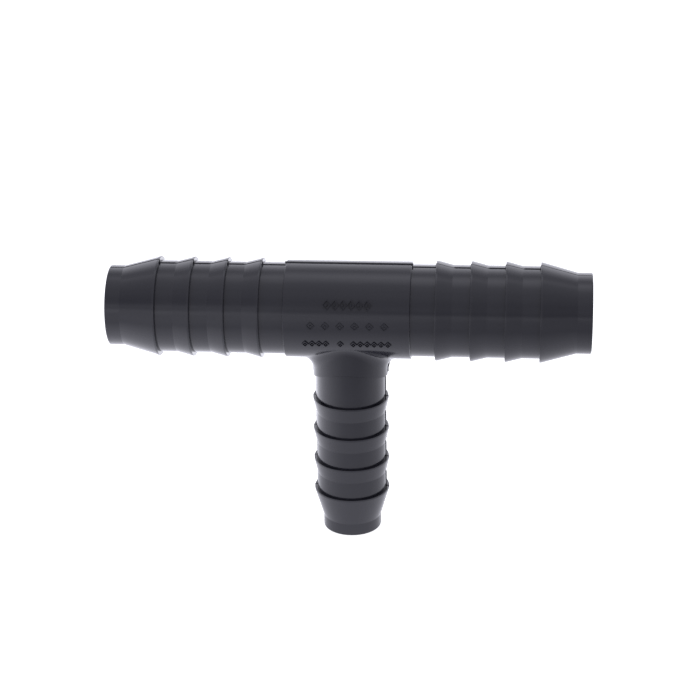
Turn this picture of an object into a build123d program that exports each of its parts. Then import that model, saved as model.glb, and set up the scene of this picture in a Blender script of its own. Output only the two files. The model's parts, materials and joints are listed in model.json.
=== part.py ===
from build123d import *
import os

# Reducing barbed tee for flexible irrigation hose, moulded in one shot of rigid PVC.
# The moulding is divided at its own steps into a centre body and three hose spigots,
# which meet face to face.
#
# Units are millimetres. The axis of the run is X and the axis of the branch is Z; they
# cross at the origin, and the branch points down, towards -Z. Places along a spigot are
# measured from that crossing.

# Run, the straight way through
run_half_length = 53.05    # crossing to the hose end
run_crest_radius = 11.0    # tops of the barbs, inside the hose
run_barb_height = 0.85     # crest above the root between barbs
run_barb_pitch = 7.57
run_ramp_length = 3.7      # each inner barb, from its flat back down to the root
run_lead_ramp = 8.0        # the long ramp of the barb at the hose end
run_nose_drop = 2.1        # crest above the plain nose
run_nose_length = 3.3
run_nose_wall = 1.4        # thinnest wall, at the nose
run_neck_length = 5.2      # plain neck between the barrel and the innermost barb

# Branch, one hose size smaller
branch_length = 52.85
branch_crest_radius = 8.43
branch_barb_height = 0.68
branch_barb_pitch = 7.45
branch_ramp_length = 3.5
branch_lead_ramp = 6.95
branch_nose_drop = 1.93
branch_nose_length = 2.87
branch_nose_wall = 1.3
branch_neck_length = 5.5   # plain neck between the hub and the innermost barb

# Centre
barrel_half_length = 13.8
barrel_step = 0.6          # barrel above the run's root
hub_step = 0.6             # hub above the branch's root
hub_length = 4.35          # hub's lower edge, beyond the barrel's surface
saddle_fillet = 3.0        # between the barrel and the hub

# Edges
crest_land = 0.4           # narrow round land on top of each barb
crest_round = 0.1
nose_round = 0.35
mouth_round = 0.4
barrel_edge_round = 0.2
hub_edge_round = 0.45      # lower edge of the hub
hub_edge_share = 0.8       # and the most of the hub's step that it may take
fillet_margin = 0.3        # the saddle fillet stops short of the hub's lower edge

same_within = 1e-4         # two places closer than this are the same

run_root_radius = run_crest_radius - run_barb_height
run_bore_radius = run_crest_radius - run_nose_drop - run_nose_wall
branch_root_radius = branch_crest_radius - branch_barb_height
branch_bore_radius = branch_crest_radius - branch_nose_drop - branch_nose_wall
barrel_radius = run_root_radius + barrel_step
hub_radius = branch_root_radius + hub_step
hub_reach = barrel_radius + hub_length


def barb_backs(length, nose_length, lead_ramp, pitch, neck_end):
    """Places of the barbs' flat backs, from the innermost barb to the hose end."""
    last = length - nose_length - lead_ramp
    count = 1 + int((last - neck_end) / pitch)
    return [last - k * pitch for k in reversed(range(count))]


def near(a, b):
    """True for two places or radii that are the same."""
    return abs(a - b) < same_within


def spigot(start, length, backs, crest, root, nose, bore, ramp_length, nose_length):
    """A barbed hose end along +X: flat backs face the crossing, ramps face the hose end."""
    outline = [(start, bore), (start, root)]
    for back in backs:
        outline += [(back, root), (back, crest), (back + crest_land, crest)]
        if back != backs[-1]:
            outline.append((back + ramp_length, root))
    outline += [(length - nose_length, nose), (length, nose), (length, bore)]
    section = make_face(Polyline(*outline, close=True))

    crests = [v for v in section.vertices() if near(v.Y, crest)]
    section = fillet(crests, crest_round)
    rim = [v for v in section.vertices() if near(v.X, length) and near(v.Y, nose)]
    section = fillet(rim, nose_round)
    mouth = [v for v in section.vertices() if near(v.X, length) and near(v.Y, bore)]
    section = fillet(mouth, mouth_round)
    return revolve(section, axis=Axis.X)


def along_run(radius, length):
    """A round bar centred on the crossing, along X."""
    return Rot(0, 90, 0) * Cylinder(radius, length)


def down_branch(radius, length):
    """A round bar from the crossing down the branch's axis."""
    return Cylinder(radius, length, align=(Align.CENTER, Align.CENTER, Align.MAX))


def lies_on(edge, run_radius, branch_radius):
    """True for an edge that keeps these distances from the two axes, at each quarter."""
    for quarter in range(4):
        point = edge.position_at(quarter / 4)
        from_run = (point.Y**2 + point.Z**2) ** 0.5
        from_branch = (point.X**2 + point.Y**2) ** 0.5
        if not near(from_run, run_radius) or not near(from_branch, branch_radius):
            return False
    return True


def centre_body():
    """The barrel, its side outlet with a filleted hub, and the bores that cross in it."""
    barrel = along_run(barrel_radius, 2 * barrel_half_length)
    rims = barrel.edges().filter_by(GeomType.CIRCLE)
    barrel = fillet(rims, barrel_edge_round)
    reach = along_run(hub_reach, 4 * hub_radius)
    hub = down_branch(hub_radius, 2 * hub_reach) & reach
    body = barrel + hub
    saddle = [e for e in body.edges() if lies_on(e, barrel_radius, hub_radius)]
    rim = [e for e in body.edges() if lies_on(e, hub_reach, hub_radius)]
    body = fillet(rim, min(hub_edge_round, hub_edge_share * hub_step))
    body = fillet(saddle, min(saddle_fillet, hub_length - fillet_margin))
    body -= along_run(run_bore_radius, 4 * barrel_half_length)
    body -= down_branch(branch_bore_radius, 2 * hub_reach)
    return body


def run_spigot():
    """The hose end of the run on the +X side."""
    backs = barb_backs(
        run_half_length,
        run_nose_length,
        run_lead_ramp,
        run_barb_pitch,
        barrel_half_length + run_neck_length,
    )
    return spigot(
        start=barrel_half_length,
        length=run_half_length,
        backs=backs,
        crest=run_crest_radius,
        root=run_root_radius,
        nose=run_crest_radius - run_nose_drop,
        bore=run_bore_radius,
        ramp_length=run_ramp_length,
        nose_length=run_nose_length,
    )


def branch_spigot():
    """The hose end of the branch, its top hollowed to sit against the hub."""
    backs = barb_backs(
        branch_length,
        branch_nose_length,
        branch_lead_ramp,
        branch_barb_pitch,
        hub_reach + branch_neck_length,
    )
    plain = spigot(
        start=0.0,
        length=branch_length,
        backs=backs,
        crest=branch_crest_radius,
        root=branch_root_radius,
        nose=branch_crest_radius - branch_nose_drop,
        bore=branch_bore_radius,
        ramp_length=branch_ramp_length,
        nose_length=branch_nose_length,
    )
    return Rot(0, 90, 0) * plain - along_run(hub_reach, 4 * hub_radius)


right = run_spigot()
nodes = {
    "centre_body": centre_body(),
    "right_spigot": right,
    "left_spigot": mirror(right, about=Plane.YZ),
    "branch_spigot": branch_spigot(),
}

os.makedirs("parts", exist_ok=True)
for name, solid in nodes.items():
    export_step(solid, f"parts/{name}.step")
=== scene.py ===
"""Barbed hose tee in dark grey PVC: its finish, moulding marks, stage, light and camera."""

import json
import math
import random

import bmesh
import bpy
from mathutils import Matrix, Vector


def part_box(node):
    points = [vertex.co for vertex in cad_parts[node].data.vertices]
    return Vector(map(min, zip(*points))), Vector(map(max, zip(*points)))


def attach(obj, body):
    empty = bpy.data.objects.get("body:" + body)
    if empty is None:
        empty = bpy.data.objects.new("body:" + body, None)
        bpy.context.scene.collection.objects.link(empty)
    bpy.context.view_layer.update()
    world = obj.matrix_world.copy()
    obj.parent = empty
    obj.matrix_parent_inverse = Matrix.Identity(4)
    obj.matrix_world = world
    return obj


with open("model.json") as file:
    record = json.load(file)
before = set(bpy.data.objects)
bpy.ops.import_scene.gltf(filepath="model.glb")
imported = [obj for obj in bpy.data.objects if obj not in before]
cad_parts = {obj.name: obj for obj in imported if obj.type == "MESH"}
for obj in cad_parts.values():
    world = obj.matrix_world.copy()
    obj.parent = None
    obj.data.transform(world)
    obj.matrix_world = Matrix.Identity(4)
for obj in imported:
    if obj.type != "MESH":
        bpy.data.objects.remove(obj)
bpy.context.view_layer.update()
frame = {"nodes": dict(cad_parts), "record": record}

MM = 0.001

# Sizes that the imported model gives, in metres
body_low, body_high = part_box("centre_body")
spigot_low, spigot_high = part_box("right_spigot")
branch_low, branch_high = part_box("branch_spigot")
mounts = {mount["name"]: mount for mount in frame["record"]["mounts"]}

BARREL_RADIUS = body_high.z
BARREL_END = body_high.x
HUB_REACH = -body_low.z
RUN_END = spigot_high.x
RUN_CREST = spigot_high.z
BRANCH_END = -branch_low.z
BRANCH_CREST = branch_high.x
RUN_BORE = mounts["run_bore"]["dims"]["r_mm"] * MM

# The rest of the mould's sizes, as the CAD source has them
RUN_ROOT = RUN_CREST - 0.85 * MM
RUN_NOSE = RUN_CREST - 2.1 * MM
RUN_NOSE_LENGTH = 3.3 * MM
RUN_LEAD_RAMP = 8.0 * MM
RUN_RAMP = 3.7 * MM
RUN_PITCH = 7.57 * MM
BRANCH_ROOT = BRANCH_CREST - 0.68 * MM
BRANCH_NOSE = BRANCH_CREST - 1.93 * MM
BRANCH_NOSE_LENGTH = 2.87 * MM
BRANCH_LEAD_RAMP = 6.95 * MM
BRANCH_RAMP = 3.5 * MM
BRANCH_PITCH = 7.45 * MM
BARBS = 4
CREST_LAND = 0.4 * MM
NOSE_ROUND = 0.35 * MM
HUB_RADIUS = BRANCH_ROOT + 0.6 * MM
SADDLE_FILLET = 3.0 * MM
HUB_EDGE_ROUND = 0.45 * MM


# Shader graphs


class Wire:
    """One output of a node. Arithmetic on it adds Math nodes to its graph."""

    def __init__(self, graph, socket):
        self.graph = graph
        self.socket = socket

    def math(self, operation, *others, clamp=False):
        settings = {"operation": operation, "use_clamp": clamp}
        return self.graph.add("ShaderNodeMath", settings, dict(enumerate(others)))

    def __add__(self, other):
        return self.math("ADD", self, other)

    def __sub__(self, other):
        return self.math("SUBTRACT", self, other)

    def __rsub__(self, other):
        return self.math("SUBTRACT", other, self)

    def __mul__(self, other):
        return self.math("MULTIPLY", self, other)

    def __truediv__(self, other):
        return self.math("DIVIDE", self, other)

    def __pow__(self, other):
        return self.math("POWER", self, other)

    __radd__ = __add__
    __rmul__ = __mul__

    def ease(self, start, end):
        """0 before start, 1 after end, and an S-curve between them."""
        settings = {"interpolation_type": "SMOOTHSTEP"}
        sockets = {"Value": self, "From Min": start, "From Max": end}
        return self.graph.add("ShaderNodeMapRange", settings, sockets)


class Graph:
    """The nodes of one material or of the world."""

    def __init__(self, owner):
        owner.use_nodes = True
        self.tree = owner.node_tree
        self.tree.nodes.clear()

    def add(self, kind, settings=None, sockets=None, out=0):
        """Adds a node, sets it up, fills its sockets, and returns one of its outputs."""
        node = self.tree.nodes.new(kind)
        for name, value in (settings or {}).items():
            if name == "stops":
                self.set_stops(node.color_ramp, value)
            else:
                setattr(node, name, value)
        for name, value in (sockets or {}).items():
            if isinstance(value, Wire):
                self.tree.links.new(value.socket, node.inputs[name])
            else:
                node.inputs[name].default_value = value
        return Wire(self, node.outputs[out]) if node.outputs else None

    def set_stops(self, ramp, stops):
        while len(ramp.elements) < len(stops):
            ramp.elements.new(0.5)
        for element, (place, level) in zip(ramp.elements, stops):
            element.position = place
            element.color = (level, level, level, 1)

    def parts(self, vector):
        """The X, Y and Z of a vector."""
        return [
            self.add("ShaderNodeSeparateXYZ", None, {"Vector": vector}, out=k)
            for k in range(3)
        ]

    def blend(self, mask, first, second):
        """The first colour where the mask is 0 and the second where it is 1."""
        settings = {"data_type": "RGBA"}
        return self.add("ShaderNodeMix", settings, {0: mask, 6: first, 7: second}, out=2)

    def noise(self, place, scale, detail=2.0, roughness=0.5):
        """Soft random values from 0 to 1. Scale counts the blotches in a metre."""
        sockets = {"Vector": place, "Scale": scale, "Detail": detail, "Roughness": roughness}
        return self.add("ShaderNodeTexNoise", None, sockets)

    def stretch(self, place, factors):
        settings = {"operation": "MULTIPLY"}
        return self.add("ShaderNodeVectorMath", settings, {0: place, 1: factors})


def grey(level, blue=1.0):
    return (level, level, level * blue, 1)


# Finish of the PVC. A scale counts the blotches in a metre, and a gain is how far a
# pattern moves what it feeds.
ALONG_THE_RUN = 0.35
FLOW_SCALE = 160
RUBBED_SCALE = 500
RUBBED_DEPTH = 0.1 * MM
RUBBED_COLOUR_GAIN = 0.12
SPECKLE_SCALE = 2600
SPECKLE_GAIN = 0.4
SCUFF_SCALE = 420
ROUGHNESS = 0.17
FLOW_ROUGHNESS_GAIN = 0.05
SCUFF_ROUGHNESS_GAIN = 0.03
RUBBED_ROUGHNESS_GAIN = 0.06
WAVE_SCALE = 210
WAVE_HEIGHT = 0.5
GRAIN_SCALE = 5200
GRAIN_HEIGHT = 0.02
BUMP_STRENGTH = 0.4
BUMP_DISTANCE = 0.12 * MM
PVC_IOR = 1.5
DEEP_GREY = grey(0.0145, 1.45)
PALE_GREY = grey(0.0175, 1.4)
RUBBED_GREY = grey(0.03, 1.1)
SPECKLE_GREY = grey(0.07, 1.1)


def pvc():
    """Satin dark grey PVC, as it leaves the mould: faint flow, fine grain, rubbed crests."""
    material = bpy.data.materials.new("dark_grey_pvc")
    graph = Graph(material)
    place = graph.add("ShaderNodeTexCoord", out="Object")
    x, y, z = graph.parts(place)

    from_run = (y * y + z * z) ** 0.5
    from_branch = (x * x + y * y) ** 0.5
    beyond_barrel = x.math("ABSOLUTE", x).ease(BARREL_END, BARREL_END + 1 * MM)
    below_hub = z.ease(-HUB_REACH, -HUB_REACH - 1 * MM)
    run_crests = from_run.ease(RUN_CREST - RUBBED_DEPTH, RUN_CREST) * beyond_barrel
    branch_crests = from_branch.ease(BRANCH_CREST - RUBBED_DEPTH, BRANCH_CREST) * below_hub
    patches = graph.noise(place, RUBBED_SCALE).ease(0.25, 0.8)
    rubbed = (run_crests + branch_crests) * patches

    along = graph.stretch(place, (ALONG_THE_RUN, 1, 1))
    flow = graph.noise(along, FLOW_SCALE, detail=3)
    speckle = graph.noise(place, SPECKLE_SCALE, detail=1).ease(0.83, 0.88)
    colour = graph.blend(flow, DEEP_GREY, PALE_GREY)
    colour = graph.blend(rubbed * RUBBED_COLOUR_GAIN, colour, RUBBED_GREY)
    colour = graph.blend(speckle * SPECKLE_GAIN, colour, SPECKLE_GREY)

    scuffs = graph.noise(along, SCUFF_SCALE, detail=3, roughness=0.6).ease(0.55, 0.8)
    roughness = ROUGHNESS + (flow - 0.5) * FLOW_ROUGHNESS_GAIN
    roughness = roughness + scuffs * SCUFF_ROUGHNESS_GAIN + rubbed * RUBBED_ROUGHNESS_GAIN

    grain = graph.noise(place, GRAIN_SCALE, detail=2)
    waves = graph.noise(graph.stretch(place, (0.5, 1, 1)), WAVE_SCALE, detail=2)
    height = waves * WAVE_HEIGHT + grain * GRAIN_HEIGHT
    bump = graph.add(
        "ShaderNodeBump",
        None,
        {"Strength": BUMP_STRENGTH, "Distance": BUMP_DISTANCE, "Height": height},
    )
    shader = graph.add(
        "ShaderNodeBsdfPrincipled",
        None,
        {
            "Base Color": colour,
            "Roughness": roughness,
            "IOR": PVC_IOR,
            "Normal": bump,
        },
    )
    graph.add("ShaderNodeOutputMaterial", None, {"Surface": shader})
    return material


# Meshes

SMOOTH_ANGLE = math.radians(40)


def finish_piece(name, points, faces, material):
    """Makes a closed mesh into a piece of the object, in the PVC slot."""
    mesh = bpy.data.meshes.new(name)
    mesh.from_pydata([tuple(p) for p in points], [], faces)
    work = bmesh.new()
    work.from_mesh(mesh)
    bmesh.ops.recalc_face_normals(work, faces=work.faces)
    for edge in work.edges:
        edge.smooth = edge.calc_face_angle(0) < SMOOTH_ANGLE
    for face in work.faces:
        face.smooth = True
    work.to_mesh(mesh)
    work.free()
    piece = bpy.data.objects.new(name, mesh)
    bpy.context.scene.collection.objects.link(piece)
    mesh.materials.append(material)
    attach(piece, "root")
    return piece


def loft(rings, loop=False):
    """Points and faces of a skin over rings of equal size, closed round or capped."""
    points = [p for ring in rings for p in ring]
    size = len(rings[0])
    faces = []
    for k in range(len(rings) if loop else len(rings) - 1):
        near = k * size
        far = (k + 1) % len(rings) * size
        for j in range(size):
            after = (j + 1) % size
            faces.append((near + j, near + after, far + after, far + j))
    if not loop:
        faces.append(tuple(range(size)))
        faces.append(tuple(range(len(points) - size, len(points))))
    return points, faces


def gather(parts):
    """Joins several lists of points and faces into one."""
    points, faces = [], []
    for part_points, part_faces in parts:
        start = len(points)
        points += part_points
        faces += [tuple(start + k for k in face) for face in part_faces]
    return points, faces


# Flash of the parting line, in the plane of the tee. A share multiplies its height.
FLASH_HALF_WIDTH = 0.17 * MM
FLASH_HEIGHT = 0.17 * MM
FLASH_SINK = 0.25 * MM
FLASH_TIP = 0.4
FLASH_FADE = 0.5 * MM
FAINT_LEFT = 0.5
FAINT_RIGHT = 0.3
BARREL_SHARE = 1.4
LEFT_SHARE = 0.6
NIB = 1.6
NIB_STEPS = (10, 11)
SADDLE_STEPS = 12
SADDLE_SWING = math.radians(88)


def barb_profile(end, nose_length, lead_ramp, pitch, ramp, root, crest, nose, faint):
    """Outline of a hose spigot beyond its neck: (along, radius, share of the flash)."""
    last = end - nose_length - lead_ramp
    outline = []
    for k in range(BARBS):
        back = last - (BARBS - 1 - k) * pitch
        outline += [(back, root, 1), (back, crest, faint), (back + CREST_LAND, crest, faint)]
        if k < BARBS - 1:
            foot = back + ramp
            outline += [(foot, root, faint), (foot + FLASH_FADE, root, 1)]
    outline += [(end - nose_length, nose, faint), (end - NOSE_ROUND, nose, faint)]
    return outline


def run_profile(faint, barrel=1):
    """Outline of half of the run, from the barrel's end to the hose end."""
    barbs = barb_profile(
        RUN_END,
        RUN_NOSE_LENGTH,
        RUN_LEAD_RAMP,
        RUN_PITCH,
        RUN_RAMP,
        RUN_ROOT,
        RUN_CREST,
        RUN_NOSE,
        faint,
    )
    return [(BARREL_END, BARREL_RADIUS, barrel), (BARREL_END, RUN_ROOT, 1)] + barbs


def branch_profile():
    """Outline of the branch, from the hub's lower edge down."""
    barbs = barb_profile(
        BRANCH_END,
        BRANCH_NOSE_LENGTH,
        BRANCH_LEAD_RAMP,
        BRANCH_PITCH,
        BRANCH_RAMP,
        BRANCH_ROOT,
        BRANCH_CREST,
        BRANCH_NOSE,
        FAINT_RIGHT,
    )
    edge = HUB_REACH - HUB_EDGE_ROUND
    return [(edge, HUB_RADIUS, 1), (HUB_REACH, BRANCH_ROOT, 1)] + barbs


def saddle_profile():
    """Round the fillet from the barrel to the hub, with a proud nib near its foot."""
    across = HUB_RADIUS + SADDLE_FILLET
    down = BARREL_RADIUS + SADDLE_FILLET
    arc = []
    for k in range(SADDLE_STEPS + 1):
        swing = SADDLE_SWING * k / SADDLE_STEPS
        x = across - SADDLE_FILLET * math.sin(swing)
        z = down - SADDLE_FILLET * math.cos(swing)
        arc.append((x, -z, NIB if k in NIB_STEPS else 1))
    return arc


def flash(path, turn, share=1.0):
    """A ridge along a path in the plane of the tee. Turn is the side it stands on."""
    places = [Vector((x, z)) for x, z, level in path]
    rings = []
    for k, here in enumerate(places):
        sides = []
        for a, b in ((k - 1, k), (k, k + 1)):
            if 0 <= a and b < len(places):
                along = (places[b] - places[a]).normalized()
                sides.append(Vector((-along.y, along.x)) * turn)
        first, second = sides[0], sides[-1]
        out = (first + second) / (1 + first.dot(second))
        half = FLASH_HALF_WIDTH
        tip = half * FLASH_TIP
        height = FLASH_HEIGHT * path[k][2] * share
        section = (
            (-half, -FLASH_SINK),
            (-half, 0),
            (-tip, height),
            (tip, height),
            (half, 0),
            (half, -FLASH_SINK),
        )
        ring = []
        for sideways, lift in section:
            spot = here + out * lift
            ring.append(Vector((spot.x, sideways, spot.y)))
        rings.append(ring)
    return loft(rings)


def parting_lines(material):
    left_half = run_profile(FAINT_LEFT, BARREL_SHARE)
    top = [(-x, r, level) for x, r, level in reversed(left_half)]
    top += run_profile(FAINT_RIGHT, BARREL_SHARE)
    points, faces = flash(top, 1)
    finish_piece("parting_line_top", points, faces, material)

    run_side = [(x, -r, level) for x, r, level in reversed(run_profile(FAINT_RIGHT))]
    branch_side = [(r, -z, level) for z, r, level in branch_profile()]
    right = run_side + saddle_profile() + branch_side
    points, faces = flash(right, 1)
    finish_piece("parting_line_right", points, faces, material)
    left = [(-x, z, min(level, 1)) for x, z, level in right]
    points, faces = flash(left, -1, LEFT_SHARE)
    finish_piece("parting_line_left", points, faces, material)


# Raised marks on the barrel, in millimetres along the run and round the barrel
MARK_SINK = 0.15 * MM
STROKE_HALF_WIDTH = 0.16
STROKE_TIP = 0.45
PAD_TOP = 0.6
PATH_STEPS = 20
ROUND_SIDES = 1.0
STRAIGHT_SIDES = 2.0
BACK = math.pi

# A row: degrees up from the front, a lozenge's width and height, and its lift
UPPER_ROW = (26, 1.6, 2.1, 0.4 * MM)
MIDDLE_ROW = (1, 1.6, 1.7, 0.13 * MM)
LOWER_ROW = (-23.4, 1.25, 1.5, 0.27 * MM)

# A chain: how many lozenges, the place of its middle along the run, its pitch, its row
CHAINS = (
    (6, 0.2, 1.75, UPPER_ROW),
    (6, 0.3, 3.2, MIDDLE_ROW),
    (4, -6.7, 1.5, LOWER_ROW),
    (1, -1.3, 1.0, LOWER_ROW),
    (6, 5.3, 1.5, LOWER_ROW),
)


def on_barrel(across, around, lift, side=0.0):
    """A point over the barrel's surface. Around starts at the front and goes up."""
    turn = around * MM / BARREL_RADIUS + side
    radius = BARREL_RADIUS + lift
    return Vector((across * MM, -radius * math.cos(turn), radius * math.sin(turn)))


def oval(across, around, half_width, half_height, corners=ROUND_SIDES):
    """A closed path: an ellipse, or a lozenge with straight sides."""
    path = []
    for k in range(PATH_STEPS):
        swing = math.tau * k / PATH_STEPS
        c, s = math.cos(swing), math.sin(swing)
        u = math.copysign(abs(c) ** corners, c) * half_width
        v = math.copysign(abs(s) ** corners, s) * half_height
        path.append((across + u, around + v))
    return path


def outline_mark(path, lift, side=0.0, half_width=STROKE_HALF_WIDTH):
    """A raised line with sloping sides along a closed path."""
    rings = []
    for k, here in enumerate(path):
        after = path[(k + 1) % len(path)]
        along = (Vector(after) - Vector(path[k - 1])).normalized()
        section = (
            (-1, -MARK_SINK),
            (-1, 0),
            (-STROKE_TIP, lift),
            (STROKE_TIP, lift),
            (1, 0),
            (1, -MARK_SINK),
        )
        ring = []
        for share, height in section:
            step = share * half_width
            across = here[0] - along.y * step
            around = here[1] + along.x * step
            ring.append(on_barrel(across, around, height, side))
        rings.append(ring)
    return loft(rings, loop=True)


def solid_mark(across, around, half_width, half_height, lift, corners=STRAIGHT_SIDES, side=0.0):
    """A raised pad with sloping sides."""
    rings = []
    for share, height in ((1, -MARK_SINK), (1, 0), (PAD_TOP, lift)):
        path = oval(across, around, half_width * share, half_height * share, corners)
        rings.append([on_barrel(u, v, height, side) for u, v in path])
    return loft(rings)


def chain(count, centre, pitch, row):
    """A run of lozenges, each with a pip in the middle."""
    turn, wide, tall, lift = row
    around = BARREL_RADIUS / MM * math.radians(turn)
    parts = []
    for k in range(count):
        across = centre + (k - (count - 1) / 2) * pitch
        path = oval(across, around, wide / 2, tall / 2, STRAIGHT_SIDES)
        parts.append(outline_mark(path, lift))
        parts.append(solid_mark(across, around, wide / 5, tall / 5, lift))
    return parts


def barrel_marks(material):
    """Three rows of plain lozenges, where a maker's lettering would be."""
    parts = []
    for count, centre, pitch, row in CHAINS:
        parts += chain(count, centre, pitch, row)
    points, faces = gather(parts)
    finish_piece("barrel_marks", points, faces, material)


# What the mould leaves on the back and in the bore
PIN_PLACE = 8.4
PIN_RADIUS = 2.0
PIN_LIFT = 0.06 * MM
PIN_LINE_HALF_WIDTH = 0.12
GATE_PAD = 2.6
GATE_PAD_LIFT = 0.14 * MM
GATE_STUB = 1.0
GATE_STUB_LIFT = 0.34 * MM
GATE_STUB_TAPER = 0.45
GATE_RINGS = 5
GATE_TEAR = 0.07 * MM
CORE_LINE_HALF_WIDTH = 0.18 * MM
CORE_LINE_LIFT = 0.12 * MM
CORE_LINE_GAP = math.radians(46)
CORE_LINE_STEPS = 90


def knock_out_rings(material):
    """Witness rings of the two pins that push the moulding out."""
    parts = []
    for across in (-PIN_PLACE, PIN_PLACE):
        path = oval(across, 0, PIN_RADIUS, PIN_RADIUS)
        parts.append(outline_mark(path, PIN_LIFT, BACK, PIN_LINE_HALF_WIDTH))
    points, faces = gather(parts)
    finish_piece("knock_out_rings", points, faces, material)


def gate_scar(material):
    """A low pad with the torn stub where the sprue was twisted off."""
    pad = solid_mark(0, 0, GATE_PAD, GATE_PAD, GATE_PAD_LIFT, ROUND_SIDES, BACK)
    stub = []
    for k in range(GATE_RINGS):
        share = k / (GATE_RINGS - 1)
        radius = GATE_STUB * (1 - GATE_STUB_TAPER * share)
        path = oval(0, 0, radius, radius)
        ring = []
        for u, v in path:
            lift = -MARK_SINK + share * (MARK_SINK + GATE_STUB_LIFT)
            torn = random.uniform(-0.5, 1.0) * GATE_TEAR * share
            ring.append(on_barrel(u, v, lift + torn, BACK))
        stub.append(ring)
    points, faces = gather([pad, loft(stub)])
    finish_piece("gate_scar", points, faces, material)


def core_line(material):
    """Thin ridge in the run's bore, where the two core pins meet."""
    section = (
        (-CORE_LINE_HALF_WIDTH, FLASH_SINK),
        (-CORE_LINE_HALF_WIDTH, 0),
        (0, -CORE_LINE_LIFT),
        (CORE_LINE_HALF_WIDTH, 0),
        (CORE_LINE_HALF_WIDTH, FLASH_SINK),
    )
    rings = []
    for k in range(CORE_LINE_STEPS + 1):
        sweep = (math.tau - 2 * CORE_LINE_GAP) * k / CORE_LINE_STEPS
        turn = CORE_LINE_GAP + sweep - math.pi / 2
        ring = []
        for across, deep in section:
            radius = RUN_BORE + deep
            ring.append(Vector((across, radius * math.cos(turn), radius * math.sin(turn))))
        rings.append(ring)
    points, faces = loft(rings)
    finish_piece("core_line", points, faces, material)


# Light, floor and camera

LIGHT_TINT = (1, 1, 1.1)
BACKDROP_LEVEL = 1.2


def tinted(graph, level):
    """The light's colour at a level."""
    settings = {"operation": "SCALE"}
    return graph.add("ShaderNodeVectorMath", settings, {0: LIGHT_TINT, "Scale": level})


def ramp(graph, place, start, end, levels):
    """A level read off a list of (place, level) pairs between start and end."""
    brightest = max(level for spot, level in levels)
    stops = [((spot - start) / (end - start), level / brightest) for spot, level in levels]
    share = (place - start) / (end - start)
    curve = graph.add("ShaderNodeValToRGB", {"stops": stops}, {"Fac": share})
    return graph.parts(curve)[0] * brightest


# The room's light: degrees up from the horizon in front, over the top and down to the
# one behind, and the level there
ROOM_LEVELS = (
    (0, 0.7),
    (2, 0.8),
    (5, 0.88),
    (8, 0.76),
    (11, 0.42),
    (15, 0.4),
    (20, 0.56),
    (30, 0.54),
    (38, 0.54),
    (50, 0.64),
    (60, 0.7),
    (64, 0.66),
    (70, 0.76),
    (84, 0.82),
    (96, 0.92),
    (100, 1.1),
    (105, 1.1),
    (110, 0.84),
    (120, 0.68),
    (130, 0.95),
    (144, 1.5),
    (160, 1.6),
    (180, 1.6),
)
PANEL_GAIN = 0.45
OVERHEAD_GAIN = 0.45
RIGHT_SHADE = 0.55
LEFT_SHADE = 0.38


def studio():
    """Soft light: a lit wall behind, a box overhead, a panel at the left, a dark room."""
    world = bpy.data.worlds.new("studio")
    bpy.context.scene.world = world
    graph = Graph(world)
    ray = graph.add("ShaderNodeTexCoord", out="Generated")
    x, y, z = graph.parts(ray)
    swing = z.math("ARCTAN2", z, y * -1) * (180 / math.pi)
    level = ramp(graph, swing, 0, 180, ROOM_LEVELS)
    panel = (x * -1).ease(0.09, 0.15) * (1 - swing.ease(18, 28))
    overhead = swing.ease(78, 95) * (1 - swing.ease(108, 124))
    overhead = overhead * x.ease(-0.17, -0.09) * (1 - x.ease(-0.02, 0.1))
    level = level + panel * PANEL_GAIN + overhead * OVERHEAD_GAIN
    level = level * (1 - x.ease(0.35, 0.8) * RIGHT_SHADE)
    level = level * (1 - (x * -1).ease(0.42, 0.85) * LEFT_SHADE)
    seen = graph.add("ShaderNodeLightPath", out="Is Camera Ray")
    level = level + seen * (BACKDROP_LEVEL - level)
    shade = graph.add("ShaderNodeBackground", None, {"Color": tinted(graph, level)})
    graph.add("ShaderNodeOutputWorld", None, {"Surface": shade})


# The floor's glow: millimetres back from the run's axis, and the level there
FLOOR_LEVELS = (
    (-150, 0.72),
    (-110, 0.66),
    (-90, 0.66),
    (-78, 0.76),
    (-62, 0.86),
    (-45, 0.98),
    (-25, 1.14),
    (0, 1.25),
    (30, 1.45),
    (80, 1.8),
)
FLOOR_REACH = 150
FLOOR_GAIN = 0.97
FLOOR_LEFT_GAIN = 0.4
FLOOR_RIGHT_LOSS = 0.13
FLOOR_GLOW = 0.85
FLOOR_HALF_SIZE = 4.0
FLOOR_CELLS = 8


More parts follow.
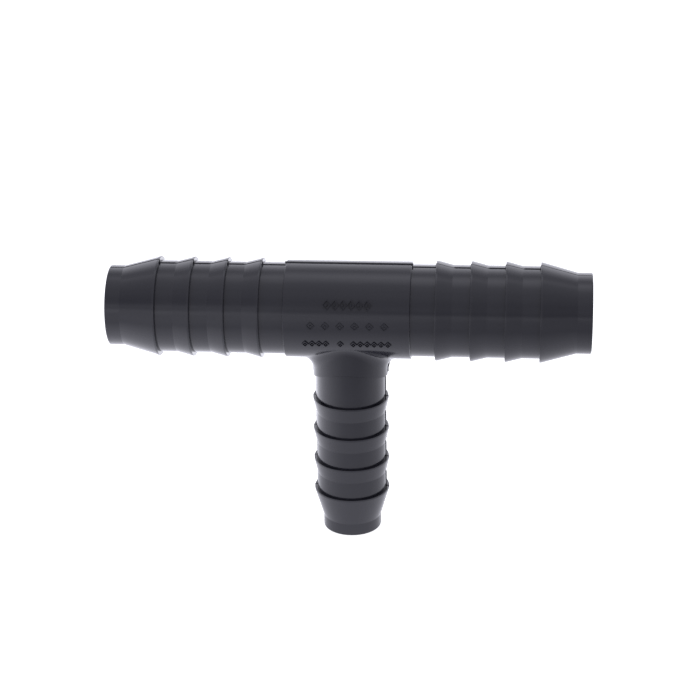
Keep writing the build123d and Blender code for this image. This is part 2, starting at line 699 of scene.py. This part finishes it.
def floor_finish():
    """A pale floor. It lights the tee by its glow, and isn't seen from underneath."""
    material = bpy.data.materials.new("pale_floor")
    graph = Graph(material)
    place = graph.add("ShaderNodeTexCoord", out="Object")
    x, y, z = graph.parts(place)
    glow = ramp(graph, y / MM, -FLOOR_REACH, FLOOR_REACH, FLOOR_LEVELS)
    left = 1 - x.ease(-75 * MM, -8 * MM)
    right = x.ease(-8 * MM, 40 * MM)
    glow = glow * (FLOOR_GAIN + left * FLOOR_LEFT_GAIN - right * FLOOR_RIGHT_LOSS)
    lit = graph.add(
        "ShaderNodeBsdfPrincipled",
        None,
        {
            "Base Color": grey(0),
            "Roughness": 1.0,
            "Specular IOR Level": 0.0,
            "Emission Color": tinted(graph, glow),
            "Emission Strength": 1.0,
        },
    )
    shown = graph.add(
        "ShaderNodeBsdfPrincipled",
        None,
        {
            "Base Color": grey(0.85),
            "Roughness": 0.8,
            "Specular IOR Level": 0.1,
            "Emission Color": grey(1.0),
            "Emission Strength": FLOOR_GLOW,
        },
    )
    seen = graph.add("ShaderNodeLightPath", out="Is Camera Ray")
    top = graph.add("ShaderNodeMixShader", None, {0: seen, 1: lit, 2: shown})
    clear = graph.add("ShaderNodeBsdfTransparent")
    back = graph.add("ShaderNodeNewGeometry", out="Backfacing")
    both = graph.add("ShaderNodeMixShader", None, {0: back, 1: top, 2: clear})
    graph.add("ShaderNodeOutputMaterial", None, {"Surface": both})
    return material


def floor():
    mesh = bpy.data.meshes.new("floor")
    work = bmesh.new()
    bmesh.ops.create_grid(
        work,
        x_segments=FLOOR_CELLS,
        y_segments=FLOOR_CELLS,
        size=FLOOR_HALF_SIZE,
    )
    work.to_mesh(mesh)
    work.free()
    mesh.materials.append(floor_finish())
    plane = bpy.data.objects.new("floor", mesh)
    plane.location.z = -BRANCH_END
    bpy.context.scene.collection.objects.link(plane)


# The camera stands in front and above, a little to the right
VIEW_TURN = math.radians(-4.972)
VIEW_TILT = math.radians(23.163)
VIEW_ROLL = math.radians(-0.813)
VIEW_DISTANCE = 486.5 * MM
VIEW_ACROSS = -0.071 * MM
VIEW_DOWN = 9.025 * MM
LENS_MM = 113.76
CLIP_START = 0.01
CLIP_END = 20


def camera():
    turn_sin, turn_cos = math.sin(VIEW_TURN), math.cos(VIEW_TURN)
    tilt_sin, tilt_cos = math.sin(VIEW_TILT), math.cos(VIEW_TILT)
    level = Vector((turn_cos, -turn_sin, 0))
    rise = Vector((turn_sin * tilt_sin, turn_cos * tilt_sin, tilt_cos))
    forward = Vector((turn_sin * tilt_cos, turn_cos * tilt_cos, -tilt_sin))
    right = level * math.cos(VIEW_ROLL) + rise * math.sin(VIEW_ROLL)
    up = rise * math.cos(VIEW_ROLL) - level * math.sin(VIEW_ROLL)
    data = bpy.data.cameras.new("camera")
    data.lens = LENS_MM
    data.clip_start = CLIP_START
    data.clip_end = CLIP_END
    eye = bpy.data.objects.new("camera", data)
    eye.rotation_euler = Matrix((right, up, -forward)).transposed().to_euler()
    eye.location = -VIEW_ACROSS * right - VIEW_DOWN * up - VIEW_DISTANCE * forward
    bpy.context.scene.collection.objects.link(eye)
    bpy.context.scene.camera = eye


random.seed(7)
finish = pvc()
for node in frame["nodes"].values():
    for slot in node.material_slots:
        slot.material = finish

parting_lines(finish)
barrel_marks(finish)
knock_out_rings(finish)
gate_scar(finish)
core_line(finish)
studio()
floor()
camera()
bpy.context.scene.view_settings.view_transform = "Standard"
